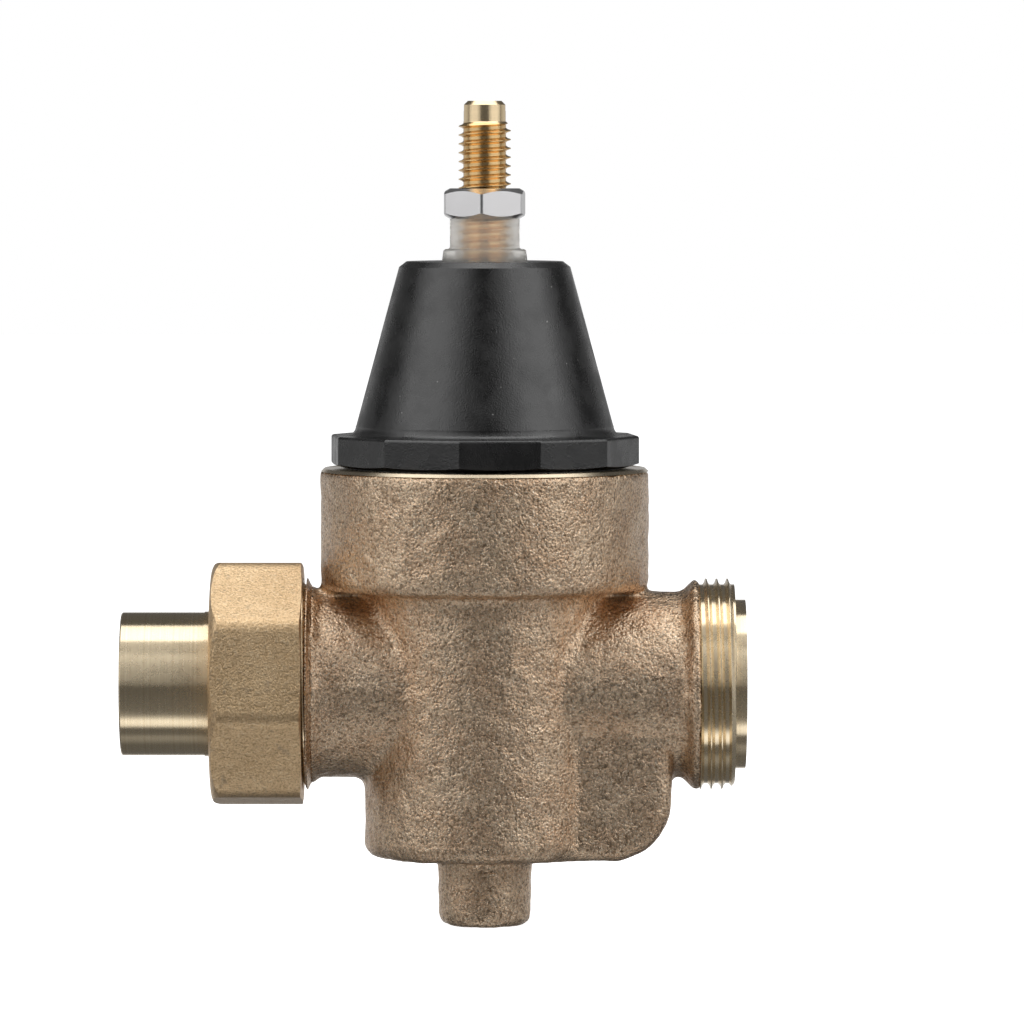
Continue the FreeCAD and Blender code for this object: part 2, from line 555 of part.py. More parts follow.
def stem_o_ring():
    return o_ring(STEM_R + 0.1, STEM_RING_Z)


def strainer_screen():
    screen = tube(SCREEN_OUT_R, SCREEN_IN_R, INLET_CHAMBER_FLOOR, INLET_CHAMBER_TOP)
    row_gap = (INLET_CHAMBER_TOP - INLET_CHAMBER_FLOOR) / (SCREEN_ROWS + 1)
    holes = []
    for row in range(SCREEN_ROWS):
        z = INLET_CHAMBER_FLOOR + (row + 1) * row_gap
        for k in range(SCREEN_HOLES):
            angle = 2 * math.pi * (k + row / 2) / SCREEN_HOLES
            outward = V(math.cos(angle), math.sin(angle), 0)
            start = outward * (SCREEN_IN_R - OVER) + V(0, 0, z)
            holes.append(Part.makeCylinder(SCREEN_HOLE_R, 2 * OVER + 0.5, start, outward))
    return screen.cut(holes)


# ---------------------------------------------------------------- union, drawn along +Z and laid along -X
def union_nut():
    """An octagonal nut with an inside thread at one end and a lip that holds the tailpiece at the other."""
    flats_r = UNION_NUT_CORNER_R * math.cos(math.pi / UNION_NUT_SIDES)
    blank = prism(UNION_NUT_SIDES, UNION_NUT_CORNER_R, UNION_NUT_INNER, UNION_NUT_OUTER, UNION_NUT_TURN)
    corners = upright_edges(blank, UNION_NUT_INNER, UNION_NUT_OUTER)
    blank = blank.makeFillet(UNION_NUT_CORNER_ROUND, corners)
    crown = turned([
        (0, UNION_NUT_INNER), (flats_r, UNION_NUT_INNER), (UNION_NUT_CORNER_R, UNION_NUT_INNER + 0.35),
        (UNION_NUT_CORNER_R, UNION_NUT_OUTER - 2.3), (flats_r + 0.5, UNION_NUT_OUTER - 0.65, "arc"),
        (flats_r - 1.6, UNION_NUT_OUTER), (0, UNION_NUT_OUTER),
    ])
    bore_r = UNION_ROOT_R + UNION_CLEAR
    lip_start = UNION_NUT_OUTER - UNION_LIP
    thread_start = INLET_REACH - SPIGOT_LENGTH - UNION_THREAD_LENGTH
    turns = math.ceil((UNION_THREAD_LENGTH + 2) / UNION_PITCH) + 2
    thread = helical_ridge(
        UNION_PITCH, UNION_ROOT_R, UNION_CREST_R, thread_start - UNION_PITCH * 1.5, turns, UNION_CLEAR,
    ).common(rod(UNION_CREST_R + OVER, UNION_NUT_INNER - OVER, INLET_REACH))
    return blank.common(crown).cut([
        rod(LIP_BORE_R, lip_start - OVER, UNION_NUT_OUTER + OVER),
        rod(bore_r, UNION_NUT_INNER - OVER, lip_start),
        thread,
    ])


def union_tailpiece():
    flange_face = INLET_REACH + GASKET_THICK
    flange_back = flange_face + TAIL_FLANGE
    socket_floor = TAIL_MOUTH - SOCKET_DEPTH
    tail = turned([
        (TAIL_WATERWAY_R, flange_face), (TAIL_FLANGE_R, flange_face), (TAIL_FLANGE_R, flange_back),
        (TAIL_COLLAR_R, flange_back), (TAIL_COLLAR_R, TAIL_COLLAR_END), (TAIL_R, TAIL_COLLAR_END),
        (TAIL_R, TAIL_MOUTH), (SOCKET_R, TAIL_MOUTH), (SOCKET_R, socket_floor),
        (TAIL_WATERWAY_R, socket_floor),
    ])
    return tail.makeChamfer(0.25, circles_at(tail, TAIL_R, TAIL_MOUTH))


def union_gasket():
    return tube(GASKET_R, WATERWAY_R, INLET_REACH, INLET_REACH + GASKET_THICK)


UPRIGHT = [
    body_casting, bonnet, threaded_insert, seal_bushing, lock_nut, adjusting_screw,
    spring_button, range_spring, diaphragm_plate, slip_ring, diaphragm, diaphragm_washer,
    valve_stem, stem_nut, valve_disc, disc_holder, disc_screw,
    seat_module, module_o_ring, seat_o_ring, stem_o_ring, strainer_screen,
]
LAID_ALONG_INLET = [union_nut, union_tailpiece, union_gasket]


def finish_part():
    os.makedirs("parts", exist_ok=True)
    for make in UPRIGHT + LAID_ALONG_INLET:
        shape = make()
        if make in LAID_ALONG_INLET:
            shape = lying(shape, -1)
        shape.translate(V(-OUTLET_REACH, 0, 0))
        shape.exportStep("parts/" + make.__name__ + ".step")
        print(make.__name__, shape.isValid(), len(shape.Solids), round(shape.Volume, 1))


finish_part()
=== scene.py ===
"""Looks of the pressure reducing valve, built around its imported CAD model. Lengths are metres."""

import math

import bmesh
import bpy
import numpy as np
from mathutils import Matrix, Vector, noise


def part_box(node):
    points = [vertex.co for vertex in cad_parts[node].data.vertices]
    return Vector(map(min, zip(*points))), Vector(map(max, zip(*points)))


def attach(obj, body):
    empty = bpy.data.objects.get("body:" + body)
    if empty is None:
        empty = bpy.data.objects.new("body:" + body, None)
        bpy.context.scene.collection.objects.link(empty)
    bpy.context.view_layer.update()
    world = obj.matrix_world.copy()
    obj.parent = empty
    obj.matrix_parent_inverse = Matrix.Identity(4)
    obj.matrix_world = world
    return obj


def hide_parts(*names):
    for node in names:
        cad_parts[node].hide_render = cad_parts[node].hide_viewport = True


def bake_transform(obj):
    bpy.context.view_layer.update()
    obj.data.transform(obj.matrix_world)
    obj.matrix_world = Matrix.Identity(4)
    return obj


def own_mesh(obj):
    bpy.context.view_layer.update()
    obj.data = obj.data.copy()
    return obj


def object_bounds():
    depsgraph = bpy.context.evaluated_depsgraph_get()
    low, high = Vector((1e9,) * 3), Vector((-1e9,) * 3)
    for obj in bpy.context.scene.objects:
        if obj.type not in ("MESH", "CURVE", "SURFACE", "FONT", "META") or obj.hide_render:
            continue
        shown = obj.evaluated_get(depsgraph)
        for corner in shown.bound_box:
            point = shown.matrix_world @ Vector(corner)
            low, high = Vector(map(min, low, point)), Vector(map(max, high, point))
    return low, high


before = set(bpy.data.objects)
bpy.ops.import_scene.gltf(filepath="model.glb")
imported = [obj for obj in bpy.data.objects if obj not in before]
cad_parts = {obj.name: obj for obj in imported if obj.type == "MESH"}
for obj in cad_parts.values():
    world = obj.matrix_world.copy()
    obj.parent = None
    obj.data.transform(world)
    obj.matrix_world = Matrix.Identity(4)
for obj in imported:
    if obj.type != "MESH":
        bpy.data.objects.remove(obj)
CAD_LOW, CAD_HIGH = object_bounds()
MM = 0.001
INCH = 25.4 * MM

# ---- places taken from the frame ----
CASTING_LOW, CASTING_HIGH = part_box("body_casting")
BONNET_LOW, BONNET_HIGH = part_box("bonnet")
VALVE_X = (BONNET_LOW.x + BONNET_HIGH.x) / 2  # the valve's upright axis
SPRING_LOW, SPRING_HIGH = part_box("range_spring")

# ---- how the casting is divided between rough cast skin and machined ends ----
OUTLET_THREAD_START = CASTING_HIGH.x - 8.2 * MM
INLET_THREAD_START = CASTING_LOW.x + 9.7 * MM
SKIN_LAP, END_LAP = 0.08 * MM, 0.05 * MM  # how far the skin and an end each pass the line between them
INLET_RING = CASTING_LOW.x + 8.7 * MM  # past this the inlet end has the skin's material
RIM_HEIGHT = 0.55 * MM
SKIN_TOP = CASTING_HIGH.z - 0.85 * RIM_HEIGHT

# ---- the relief of the cast skin ----
SKIN_VOXEL = 0.6 * MM
SKIN_LUMPS = ((5.5 * MM, 0.16 * MM), (2.4 * MM, 0.13 * MM), (1.3 * MM, 0.06 * MM))  # size, depth
PARTING_START = VALVE_X - 19 * MM  # the mould's parting line shows on the inlet's side of this
PARTING_FADE = 3 * MM
PARTING_LEVEL, PARTING_DEPTH, PARTING_WIDTH = 0.2 * MM, 0.20 * MM, 0.5 * MM
TRUNK_BORE_R, TRUNK_BORE_FLOOR = 19.0 * MM, -27 * MM  # machined, so it has no relief
BARREL_BORE_R, BARREL_BORE_FLOOR = 25.2 * MM, 19 * MM
WATERWAY_R = 13.2 * MM

# ---- how the soft pieces are divided ----
DIAPHRAGM_SECTORS = 12
SPRING_SPLIT = 0.72  # of its height; the spring gives way to the screw below this, to the stem above

SCREW_PAINTED_PALE_END = 3.9 * MM  # how much of the adjusting screw's end is painted paler, painted light that stands in for the threads' deeper colour from inter-reflection


# ---------------------------------------------------------------- materials
def add_node(tree, kind, *inputs, **settings):
    """Each input is a number, a colour or another node's output, in the order of the node's sockets."""
    made = tree.nodes.new("ShaderNode" + kind)
    for setting, value in settings.items():
        setattr(made, setting, value)
    for socket, value in zip(made.inputs, inputs):
        if isinstance(value, bpy.types.NodeSocket):
            tree.links.new(value, socket)
        else:
            socket.default_value = value
    return made


class Finish:
    """A procedural material: one Principled shader and the nodes that feed it."""

    def __init__(self, name, color, metallic, roughness, **sockets):
        self.material = bpy.data.materials.new(name)
        self.material.use_nodes = True
        self.tree = self.material.node_tree
        self.shader = self.tree.nodes["Principled BSDF"]
        self.shader.inputs["Base Color"].default_value = (*color, 1)
        self.shader.inputs["Metallic"].default_value = metallic
        self.shader.inputs["Roughness"].default_value = roughness
        for socket, value in sockets.items():
            self.shader.inputs[socket.replace("_", " ")].default_value = value
        self.where = self.tree.nodes.new("ShaderNodeTexCoord").outputs["Object"]

    def node(self, kind, *inputs, **settings):
        """Adds a node and gives its first output."""
        return add_node(self.tree, kind, *inputs, **settings).outputs[0]

    def grain(self, size, detail=2.0, stretch=(1, 1, 1), shift=0.0):
        """Noise whose lumps are about this size.

        stretch scales the pattern's coordinates on each axis, and 0 draws it into lines along that axis.
        """
        at = self.node("VectorMath", self.where, (shift, 2 * shift, 3 * shift), operation="ADD")
        at = self.node("VectorMath", at, stretch, operation="MULTIPLY")
        made = add_node(self.tree, "TexNoise")
        made.inputs["Scale"].default_value = 1 / size
        made.inputs["Detail"].default_value = detail
        self.tree.links.new(at, made.inputs["Vector"])
        return made.outputs[0]

    def specks(self, size, radius, shift=0.0):
        """1 in small round spots on a grid of about this size, 0 elsewhere."""
        at = self.node("VectorMath", self.where, (shift, shift, shift), operation="ADD")
        made = add_node(self.tree, "TexVoronoi")
        made.inputs["Scale"].default_value = 1 / size
        self.tree.links.new(at, made.inputs["Vector"])
        return self.span(made.outputs["Distance"], radius / size, 0.6 * radius / size, 0, 1)

    def span(self, value, low, high, to_low, to_high):
        """Maps low..high to to_low..to_high, and holds the ends."""
        return self.node("MapRange", value, low, high, to_low, to_high)

    def height(self):
        """How high a point lies in the frame."""
        return add_node(self.tree, "SeparateXYZ", self.where).outputs["Z"]

    def mix(self, share, first, second):
        def color(value):
            return (*value, 1) if isinstance(value, tuple) else value
        return self.node("MixRGB", share, color(first), color(second))

    def add(self, first, second):
        return self.node("Math", first, second, operation="ADD")

    def times(self, first, second):
        return self.node("Math", first, second, operation="MULTIPLY")

    def color(self, output):
        self.tree.links.new(output, self.shader.inputs["Base Color"])

    def roughness(self, output):
        self.tree.links.new(output, self.shader.inputs["Roughness"])

    def bump(self, *layers):
        """Relief from (height, depth) layers, the coarsest first."""
        normal = None
        for height, depth in layers:
            made = add_node(self.tree, "Bump")
            made.inputs["Distance"].default_value = depth
            self.tree.links.new(height, made.inputs["Height"])
            if normal is not None:
                self.tree.links.new(normal, made.inputs["Normal"])
            normal = made.outputs[0]
        self.tree.links.new(normal, self.shader.inputs["Normal"])


def cast_bronze():
    """Sand-cast, shot-blasted bronze: sparkling grain over soft lumps and browner in patches, with painted
    shade in the hollows of the grain and painted glints on the peaks of the finest grain.
    """
    brown, golden = (0.71, 0.485, 0.315), (0.82, 0.61, 0.42)
    # painted shade for the hollows of the grain, then a painted glint for the peaks of the finest grain
    painted_pit_shade, painted_glint = (0.20, 0.12, 0.065), (1.0, 0.87, 0.69)
    made = Finish("cast_bronze", (0.50, 0.38, 0.27), 1.0, 0.30)
    patches = made.span(made.grain(7 * MM, 3), 0.35, 0.65, 0, 1)
    grit = made.grain(0.47 * MM, 3)
    sparkle = made.grain(0.24 * MM, 2, shift=0.6)
    # painted shade where the grit's relief is low, painted glints where the finest grain's relief is high
    pit_shade_share = made.span(grit, 0.38, 0.52, 1, 0)
    glint_share = made.span(sparkle, 0.54, 0.66, 0, 1)
    ground = made.mix(patches, brown, golden)
    # painted shade in the hollows, then painted glints on the peaks
    ground = made.mix(made.times(pit_shade_share, 0.78), ground, painted_pit_shade)
    made.color(made.mix(made.times(glint_share, 0.85), ground, painted_glint))
    made.roughness(made.span(made.grain(0.9 * MM, 2, shift=0.3), 0.3, 0.7, 0.19, 0.34))
    made.bump(
        (made.grain(2.6 * MM, 2, shift=0.1), 0.30 * MM),
        (grit, 0.27 * MM),
        (sparkle, 0.05 * MM),
    )
    return made.material


def forged_brass():
    """Hot-forged brass with a fine shot-blasted skin and a few stains, with painted shade in the hollows of
    its grit and painted highlights on its peaks.
    """
    dull, bright = (0.78, 0.54, 0.295), (0.90, 0.645, 0.37)
    # the first two colours are painted shade for the grit's hollows and a painted highlight for its peaks;
    # the last is the stains' own colour
    painted_pit_shade, painted_glint, stained = (0.42, 0.27, 0.13), (0.95, 0.78, 0.54), (0.40, 0.29, 0.19)
    made = Finish("forged_brass", (0.74, 0.57, 0.35), 0.92, 0.42, Coat_Weight=0.6, Coat_Roughness=0.5)
    patches = made.span(made.grain(9 * MM, 3), 0.3, 0.7, 0, 1)
    grit = made.grain(0.38 * MM, 3)
    # painted shade where the grit is low, painted highlight where it is high
    pit_shade_share = made.span(grit, 0.34, 0.5, 1, 0)
    glint_share = made.span(grit, 0.54, 0.68, 0, 1)
    stains = made.span(made.grain(2.5 * MM, 4, shift=0.7), 0.62, 0.74, 0, 0.6)
    ground = made.mix(patches, dull, bright)
    # painted shade in the hollows, then painted highlights on the peaks
    ground = made.mix(made.times(pit_shade_share, 0.6), ground, painted_pit_shade)
    ground = made.mix(made.times(glint_share, 0.5), ground, painted_glint)
    made.color(made.mix(stains, ground, stained))
    made.roughness(made.span(made.grain(1.2 * MM, 2, shift=0.2), 0.3, 0.7, 0.34, 0.46))
    made.bump(
        (made.grain(2.6 * MM, 2, shift=0.1), 0.12 * MM),
        (grit, 0.16 * MM),
    )
    return made.material


def turned_brass(
    name, axis, color, line=0.25, depth=0.02, polish=0.27, smear=1.0, stained=0.05, painted_pale_end=None,
):
    """Brass turned on a lathe. Its fine lines run round the axis X or Z and smear what it mirrors.

    line and depth are the lines' width and depth in mm, polish the roughness, smear the anisotropy, and
    stained how dark the stains are. The last argument is a height and a paler colour painted above it, as
    painted light.
    """
    made = Finish(name, color, 1.0, polish, Anisotropic=smear, Anisotropic_Rotation=0.25)
    tangent = made.tree.nodes.new("ShaderNodeTangent")
    tangent.direction_type = "RADIAL"
    tangent.axis = axis
    made.tree.links.new(tangent.outputs[0], made.shader.inputs["Tangent"])
    across = (1.0, 0.0, 0.0) if axis == "X" else (0.0, 0.0, 1.0)
    lines = made.grain(line * MM, 3, across)
    broad = made.grain(3.0 * MM, 2, across, shift=0.4)
    shade = made.span(made.grain(0.4 * MM, 4, across, shift=0.8), 0.35, 0.65, 0, 0.55)
    stain = made.span(made.grain(5 * MM, 3), 0.4, 0.75, 0, stained)
    tarnish = (0.74, 0.68, 0.60)
    darker = tuple(c * f for c, f in zip(color, tarnish))
    shaded = made.mix(made.add(shade, stain), color, darker)
    # painted light: above the given height the brass is painted paler than below
    if painted_pale_end is not None:
        height, painted_pale_color = painted_pale_end
        above = made.node("Math", made.height(), height, operation="GREATER_THAN")
        shaded = made.mix(above, shaded, painted_pale_color)
    made.color(shaded)
    made.roughness(made.span(made.grain(1.4 * MM, 1, shift=0.2), 0.3, 0.7, 0.97 * polish, 1.06 * polish))
    made.bump((broad, 0.03 * MM), (lines, depth * MM))
    return made.material


def zinc_plate():
    made = Finish("zinc_plate", (0.84, 0.83, 0.84), 1.0, 0.2)
    cloud = made.span(made.grain(6 * MM, 2), 0.3, 0.7, 0, 1)
    made.color(made.mix(cloud, (0.88, 0.87, 0.88), (0.92, 0.91, 0.92)))
    made.roughness(made.span(made.grain(3 * MM, 2, shift=0.2), 0.3, 0.7, 0.18, 0.24))
    made.bump((made.grain(0.5 * MM, 2), 0.003 * MM))
    return made.material


def black_polymer():
    """Glass-filled nylon: satin black, clouded where the glass lies near the skin, with dust on it."""
    black, clouded, dusty = (0.0012, 0.0012, 0.0012), (0.013, 0.0125, 0.013), (0.40, 0.39, 0.38)
    made = Finish("black_polymer", (0.02, 0.02, 0.021), 0.0, 0.30, IOR=1.6, Specular_IOR_Level=0.75)
    cloud = made.span(made.grain(6 * MM, 5), 0.42, 0.68, 0, 1)
    fibre = made.span(made.grain(0.6 * MM, 4, (1, 1, 0.6)), 0.35, 0.72, 0, 1)
    ground = made.mix(made.times(cloud, fibre), black, clouded)
    specks = made.specks(2.2 * MM, 0.17 * MM)
    dust = made.times(specks, made.span(made.grain(3 * MM, 2, shift=0.5), 0.5, 0.6, 0, 1))
    made.color(made.mix(dust, ground, dusty))
    made.roughness(made.span(made.grain(4.5 * MM, 5, shift=0.3), 0.35, 0.65, 0.20, 0.38))
    made.bump(
        (made.grain(3.0 * MM, 3), 0.03 * MM),
        (made.grain(0.26 * MM, 2), 0.05 * MM),
    )
    return made.material


def natural_nylon():
    """Cloudy nylon that the brass behind it shows through."""
    made = Finish(
        "natural_nylon", (0.88, 0.86, 0.82), 0.0, 0.2,
        Transmission_Weight=0.80, IOR=1.12, Coat_Weight=0.4, Coat_Roughness=0.5,
    )
    cloud = made.span(made.grain(3 * MM, 3), 0.3, 0.7, 0, 1)
    made.color(made.mix(cloud, (0.86, 0.84, 0.80), (0.91, 0.89, 0.85)))
    made.roughness(made.span(made.grain(2 * MM, 2, shift=0.2), 0.3, 0.7, 0.42, 0.52))
    made.bump((made.grain(0.8 * MM, 2), 0.004 * MM))
    return made.material


def plain_finish(name, light, dark, metallic, roughness, size, depth):
    """For the pieces inside: two close shades in a grain of this size, with the same grain as relief."""
    made = Finish(name, light, metallic, roughness)
    made.color(made.mix(made.span(made.grain(4 * size, 3), 0.3, 0.7, 0, 1), light, dark))
    made.roughness(made.span(made.grain(2 * size, 2, shift=0.2), 0.3, 0.7, roughness * 0.85, roughness * 1.2))
    made.bump((made.grain(size, 2), depth))
    return made.material


# ---------------------------------------------------------------- meshes
def new_piece(name, points, faces):
    mesh = bpy.data.meshes.new(name)
    mesh.from_pydata(points, [], faces)
    piece = bpy.data.objects.new(name, mesh)
    bpy.context.scene.collection.objects.link(piece)
    return piece


def welded(node):
    """The CAD node's shape as a closed bmesh."""
    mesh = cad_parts[node].data
    plain = bpy.data.meshes.new("plain")
    plain.from_pydata([v.co for v in mesh.vertices], [], [list(p.vertices) for p in mesh.polygons])
    shape = bmesh.new()
    shape.from_mesh(plain)
    bpy.data.meshes.remove(plain)
    bmesh.ops.remove_doubles(shape, verts=shape.verts, dist=0.0005 * MM)
    return shape


def cut_away(shape, point, outward):
    """Throws away what lies past a plane and closes the cut."""
    everything = shape.verts[:] + shape.edges[:] + shape.faces[:]
    cut = bmesh.ops.bisect_plane(
        shape, geom=everything, dist=1e-8, plane_co=point, plane_no=outward, clear_outer=True,
    )["geom_cut"]
    rim = [e for e in cut if isinstance(e, bmesh.types.BMEdge)]
    bmesh.ops.triangle_fill(shape, edges=rim, use_beauty=True, normal=outward)


def part_of_casting(name, *planes):
    """A closed piece of the casting, cut out of it by planes given as (point, outward)."""
    shape = welded("body_casting")
    for point, outward in planes:
        cut_away(shape, Vector(point), Vector(outward))
    bmesh.ops.recalc_face_normals(shape, faces=shape.faces)
    piece = new_piece(name, [], [])
    shape.to_mesh(piece.data)
    shape.free()
    return piece


def applied(piece):
    """Applies every modifier of a piece."""
    seen = piece.evaluated_get(bpy.context.evaluated_depsgraph_get())
    mesh = bpy.data.meshes.new_from_object(seen)
    piece.modifiers.clear()
    piece.data = mesh


def smooth(piece, angle=35):
    piece.data.shade_smooth()
    piece.data.set_sharp_from_angle(angle=math.radians(angle))


def dress(thing, material):
    """Gives a piece or a CAD node one material."""
    if thing.material_slots:
        for slot in thing.material_slots:
            slot.material = material
    else:
        thing.data.materials.append(material)


def skin_relief(points):
    """How far each point of the cast skin stands proud: lumps, and the mould's parting line."""
    proud = np.zeros(len(points))
    for size, depth in SKIN_LUMPS:
        proud += [depth * noise.noise(Vector(p) / size) for p in points]
    across = np.hypot(points[:, 0] - VALVE_X, points[:, 1])
    along = np.hypot(points[:, 1], points[:, 2])
    on_inlet = np.clip((PARTING_START - points[:, 0]) / PARTING_FADE, 0, 1)
    from_line = (points[:, 2] - PARTING_LEVEL) / PARTING_WIDTH
    proud += PARTING_DEPTH * on_inlet * np.exp(-from_line ** 2)
    machined = ((across < TRUNK_BORE_R) & (points[:, 2] > TRUNK_BORE_FLOOR)) | (along < WATERWAY_R)
    machined |= (across < BARREL_BORE_R) & (points[:, 2] > BARREL_BORE_FLOOR)
    return np.where(machined, 0.0, proud)


def cast_skin():
    """The rough outside of the casting, remade from even faces so that it can be roughened."""
    piece = part_of_casting(
        "cast_skin",
        ((OUTLET_THREAD_START + SKIN_LAP, 0, 0), (1, 0, 0)),
        ((INLET_THREAD_START - SKIN_LAP, 0, 0), (-1, 0, 0)),
        ((0, 0, SKIN_TOP), (0, 0, 1)),
    )
    remesh = piece.modifiers.new("even_faces", "REMESH")
    remesh.mode = "VOXEL"
    remesh.voxel_size = SKIN_VOXEL
    soften = piece.modifiers.new("soften", "SMOOTH")
    soften.factor = 0.5
    soften.iterations = 5
    applied(piece)
    mesh = piece.data
    points = np.empty(len(mesh.vertices) * 3)
    normals = np.empty(len(mesh.vertices) * 3)
    mesh.vertices.foreach_get("co", points)
    mesh.vertices.foreach_get("normal", normals)
    points = points.reshape(-1, 3)
    normals = normals.reshape(-1, 3)
    points = points + normals * skin_relief(points)[:, None]
    mesh.vertices.foreach_set("co", points.ravel())
    mesh.update()
    mesh.shade_smooth()
    return piece


def swept(name, rings):
    """A closed tube through rings of points, each with the same number of points."""
    count = len(rings[0])
    points = [p for ring in rings for p in ring]
    faces = []
    for k in range(len(rings) - 1):
        for i in range(count):
            j = (i + 1) % count
            faces.append((k * count + i, k * count + j, (k + 1) * count + j, (k + 1) * count + i))
    faces.append(tuple(reversed(range(count))))
    faces.append(tuple(range((len(rings) - 1) * count, len(rings) * count)))
    piece = new_piece(name, points, faces)
    shape = bmesh.new()
    shape.from_mesh(piece.data)
    bmesh.ops.recalc_face_normals(shape, faces=shape.faces)
    shape.to_mesh(piece.data)
    shape.free()
    return piece


def pipe_thread():
    """The tapered pipe thread inside the outlet, 14 to the inch."""
    pitch = INCH / 14
    taper = 1 / 32  # of the radius
    wall, crest = 12.98 * MM, 12.15 * MM  # radii
    start, end = CASTING_HIGH.x - 1.2 * MM, CASTING_HIGH.x - 13.0 * MM
    steps_a_turn, fading_steps, lowest = 48, 24, 0.05
    foot, flat = 0.44, 0.07  # half widths of the ridge, in pitches
    steps = (start - end) / pitch * steps_a_turn
    rings = []
    for k in range(int(steps) + 1):
        angle = 2 * math.pi * k / steps_a_turn
        x = start - pitch * k / steps_a_turn
        top = crest - (start - x) * taper
        fade = min(1.0, k / fading_steps, (steps - k) / fading_steps)
        top = wall - (wall - top) * max(fade, lowest)
        section = [(wall, -foot), (top, -flat), (top, flat), (wall, foot)]
        rings.append([
            (x + part * pitch, r * math.sin(angle), r * math.cos(angle)) for r, part in section
        ])
    return swept("outlet_pipe_thread", rings)


def diaphragm_sectors():
    """The diaphragm in sectors, each with the way it points."""
    step = 2 * math.pi / DIAPHRAGM_SECTORS
    axis = Vector((VALVE_X, 0, 0))
    for k in range(DIAPHRAGM_SECTORS):
        shape = welded("diaphragm")
        for side in (1, -1):
            normal = k * step + side * (step / 2 + math.pi / 2)
            cut_away(shape, axis, Vector((math.cos(normal), math.sin(normal), 0)))
        bmesh.ops.recalc_face_normals(shape, faces=shape.faces)
        piece = new_piece("diaphragm_sector_%d" % k, [], [])
        shape.to_mesh(piece.data)
        shape.free()
        yield piece, Vector((math.cos(k * step), math.sin(k * step), 0))


def spring_coils():
    """The range spring with closed, ground ends: its lower length, its upper one and where they meet."""
    mean_r, wire_r, turns, steps_a_turn, around = 10.3 * MM, 1.3 * MM, 7.0, 40, 12
    closing_turns, closing = 0.9, 0.55  # how much of each end closes, and by which share of the pitch
    ground_off = 0.4 * wire_r
    low, high = SPRING_LOW.z, SPRING_HIGH.z
    steps = int(turns * steps_a_turn)
    climb = [0.0]
    for k in range(steps):
        turn = (k + 0.5) / steps_a_turn
        closeness = max(1 - min(turn, turns - turn) / closing_turns, 0)
        climb.append(climb[-1] + 1 - closing * closeness)
    rings, levels = [], []
    for k, risen in enumerate(climb):
        angle = 2 * math.pi * k / steps_a_turn
        z = low + ground_off + (high - low - 2 * ground_off) * risen / climb[-1]
        levels.append(z)
        ring = []
        for i in range(around):
            bend = 2 * math.pi * i / around
            r = mean_r + wire_r * math.cos(bend)
            level = min(max(z + wire_r * math.sin(bend), low), high)
            ring.append((VALVE_X + r * math.cos(angle), r * math.sin(angle), level))
        rings.append(ring)
    cut = next(k for k, z in enumerate(levels) if z > low + SPRING_SPLIT * (high - low))
    return swept("spring_coil", rings[:cut + 1]), swept("spring_coil_top", rings[cut:]), levels[cut]


